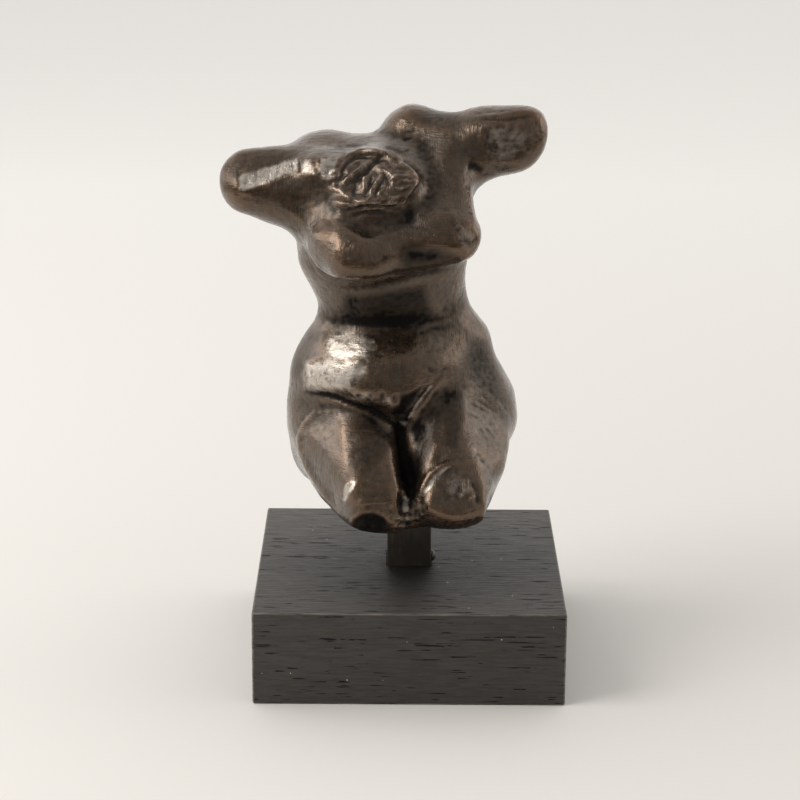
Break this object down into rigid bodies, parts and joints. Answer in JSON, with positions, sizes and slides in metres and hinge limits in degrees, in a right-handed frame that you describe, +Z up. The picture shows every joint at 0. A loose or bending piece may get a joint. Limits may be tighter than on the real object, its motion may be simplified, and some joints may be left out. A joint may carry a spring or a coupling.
{
  "type": "bronze torso sculpture on a square plinth",
  "caption": "Small cast-bronze torso of a seated woman with stumps for arms, neck and thighs, held by a square post on a square black-stained wooden block.",
  "frame": {"origin": "centre of the plinth's underside", "axes": "+Z up, the figure faces -Y, +X to the viewer's right"},
  "size_m": [0.1335, 0.12, 0.223],
  "materials": {
    "bronze": "cast bronze, dark brown patina, half-gloss, rubbed paler on the raised forms",
    "post_metal": "square bar, blackened, satin",
    "plinth_wood": "open-pored hardwood, stained black, matt"
  },
  "bodies": {
    "root": {"plinth": "plinth_wood", "post": "post_metal", "post_pin": "post_metal", "torso": "bronze"}
  },
  "joints": []
}
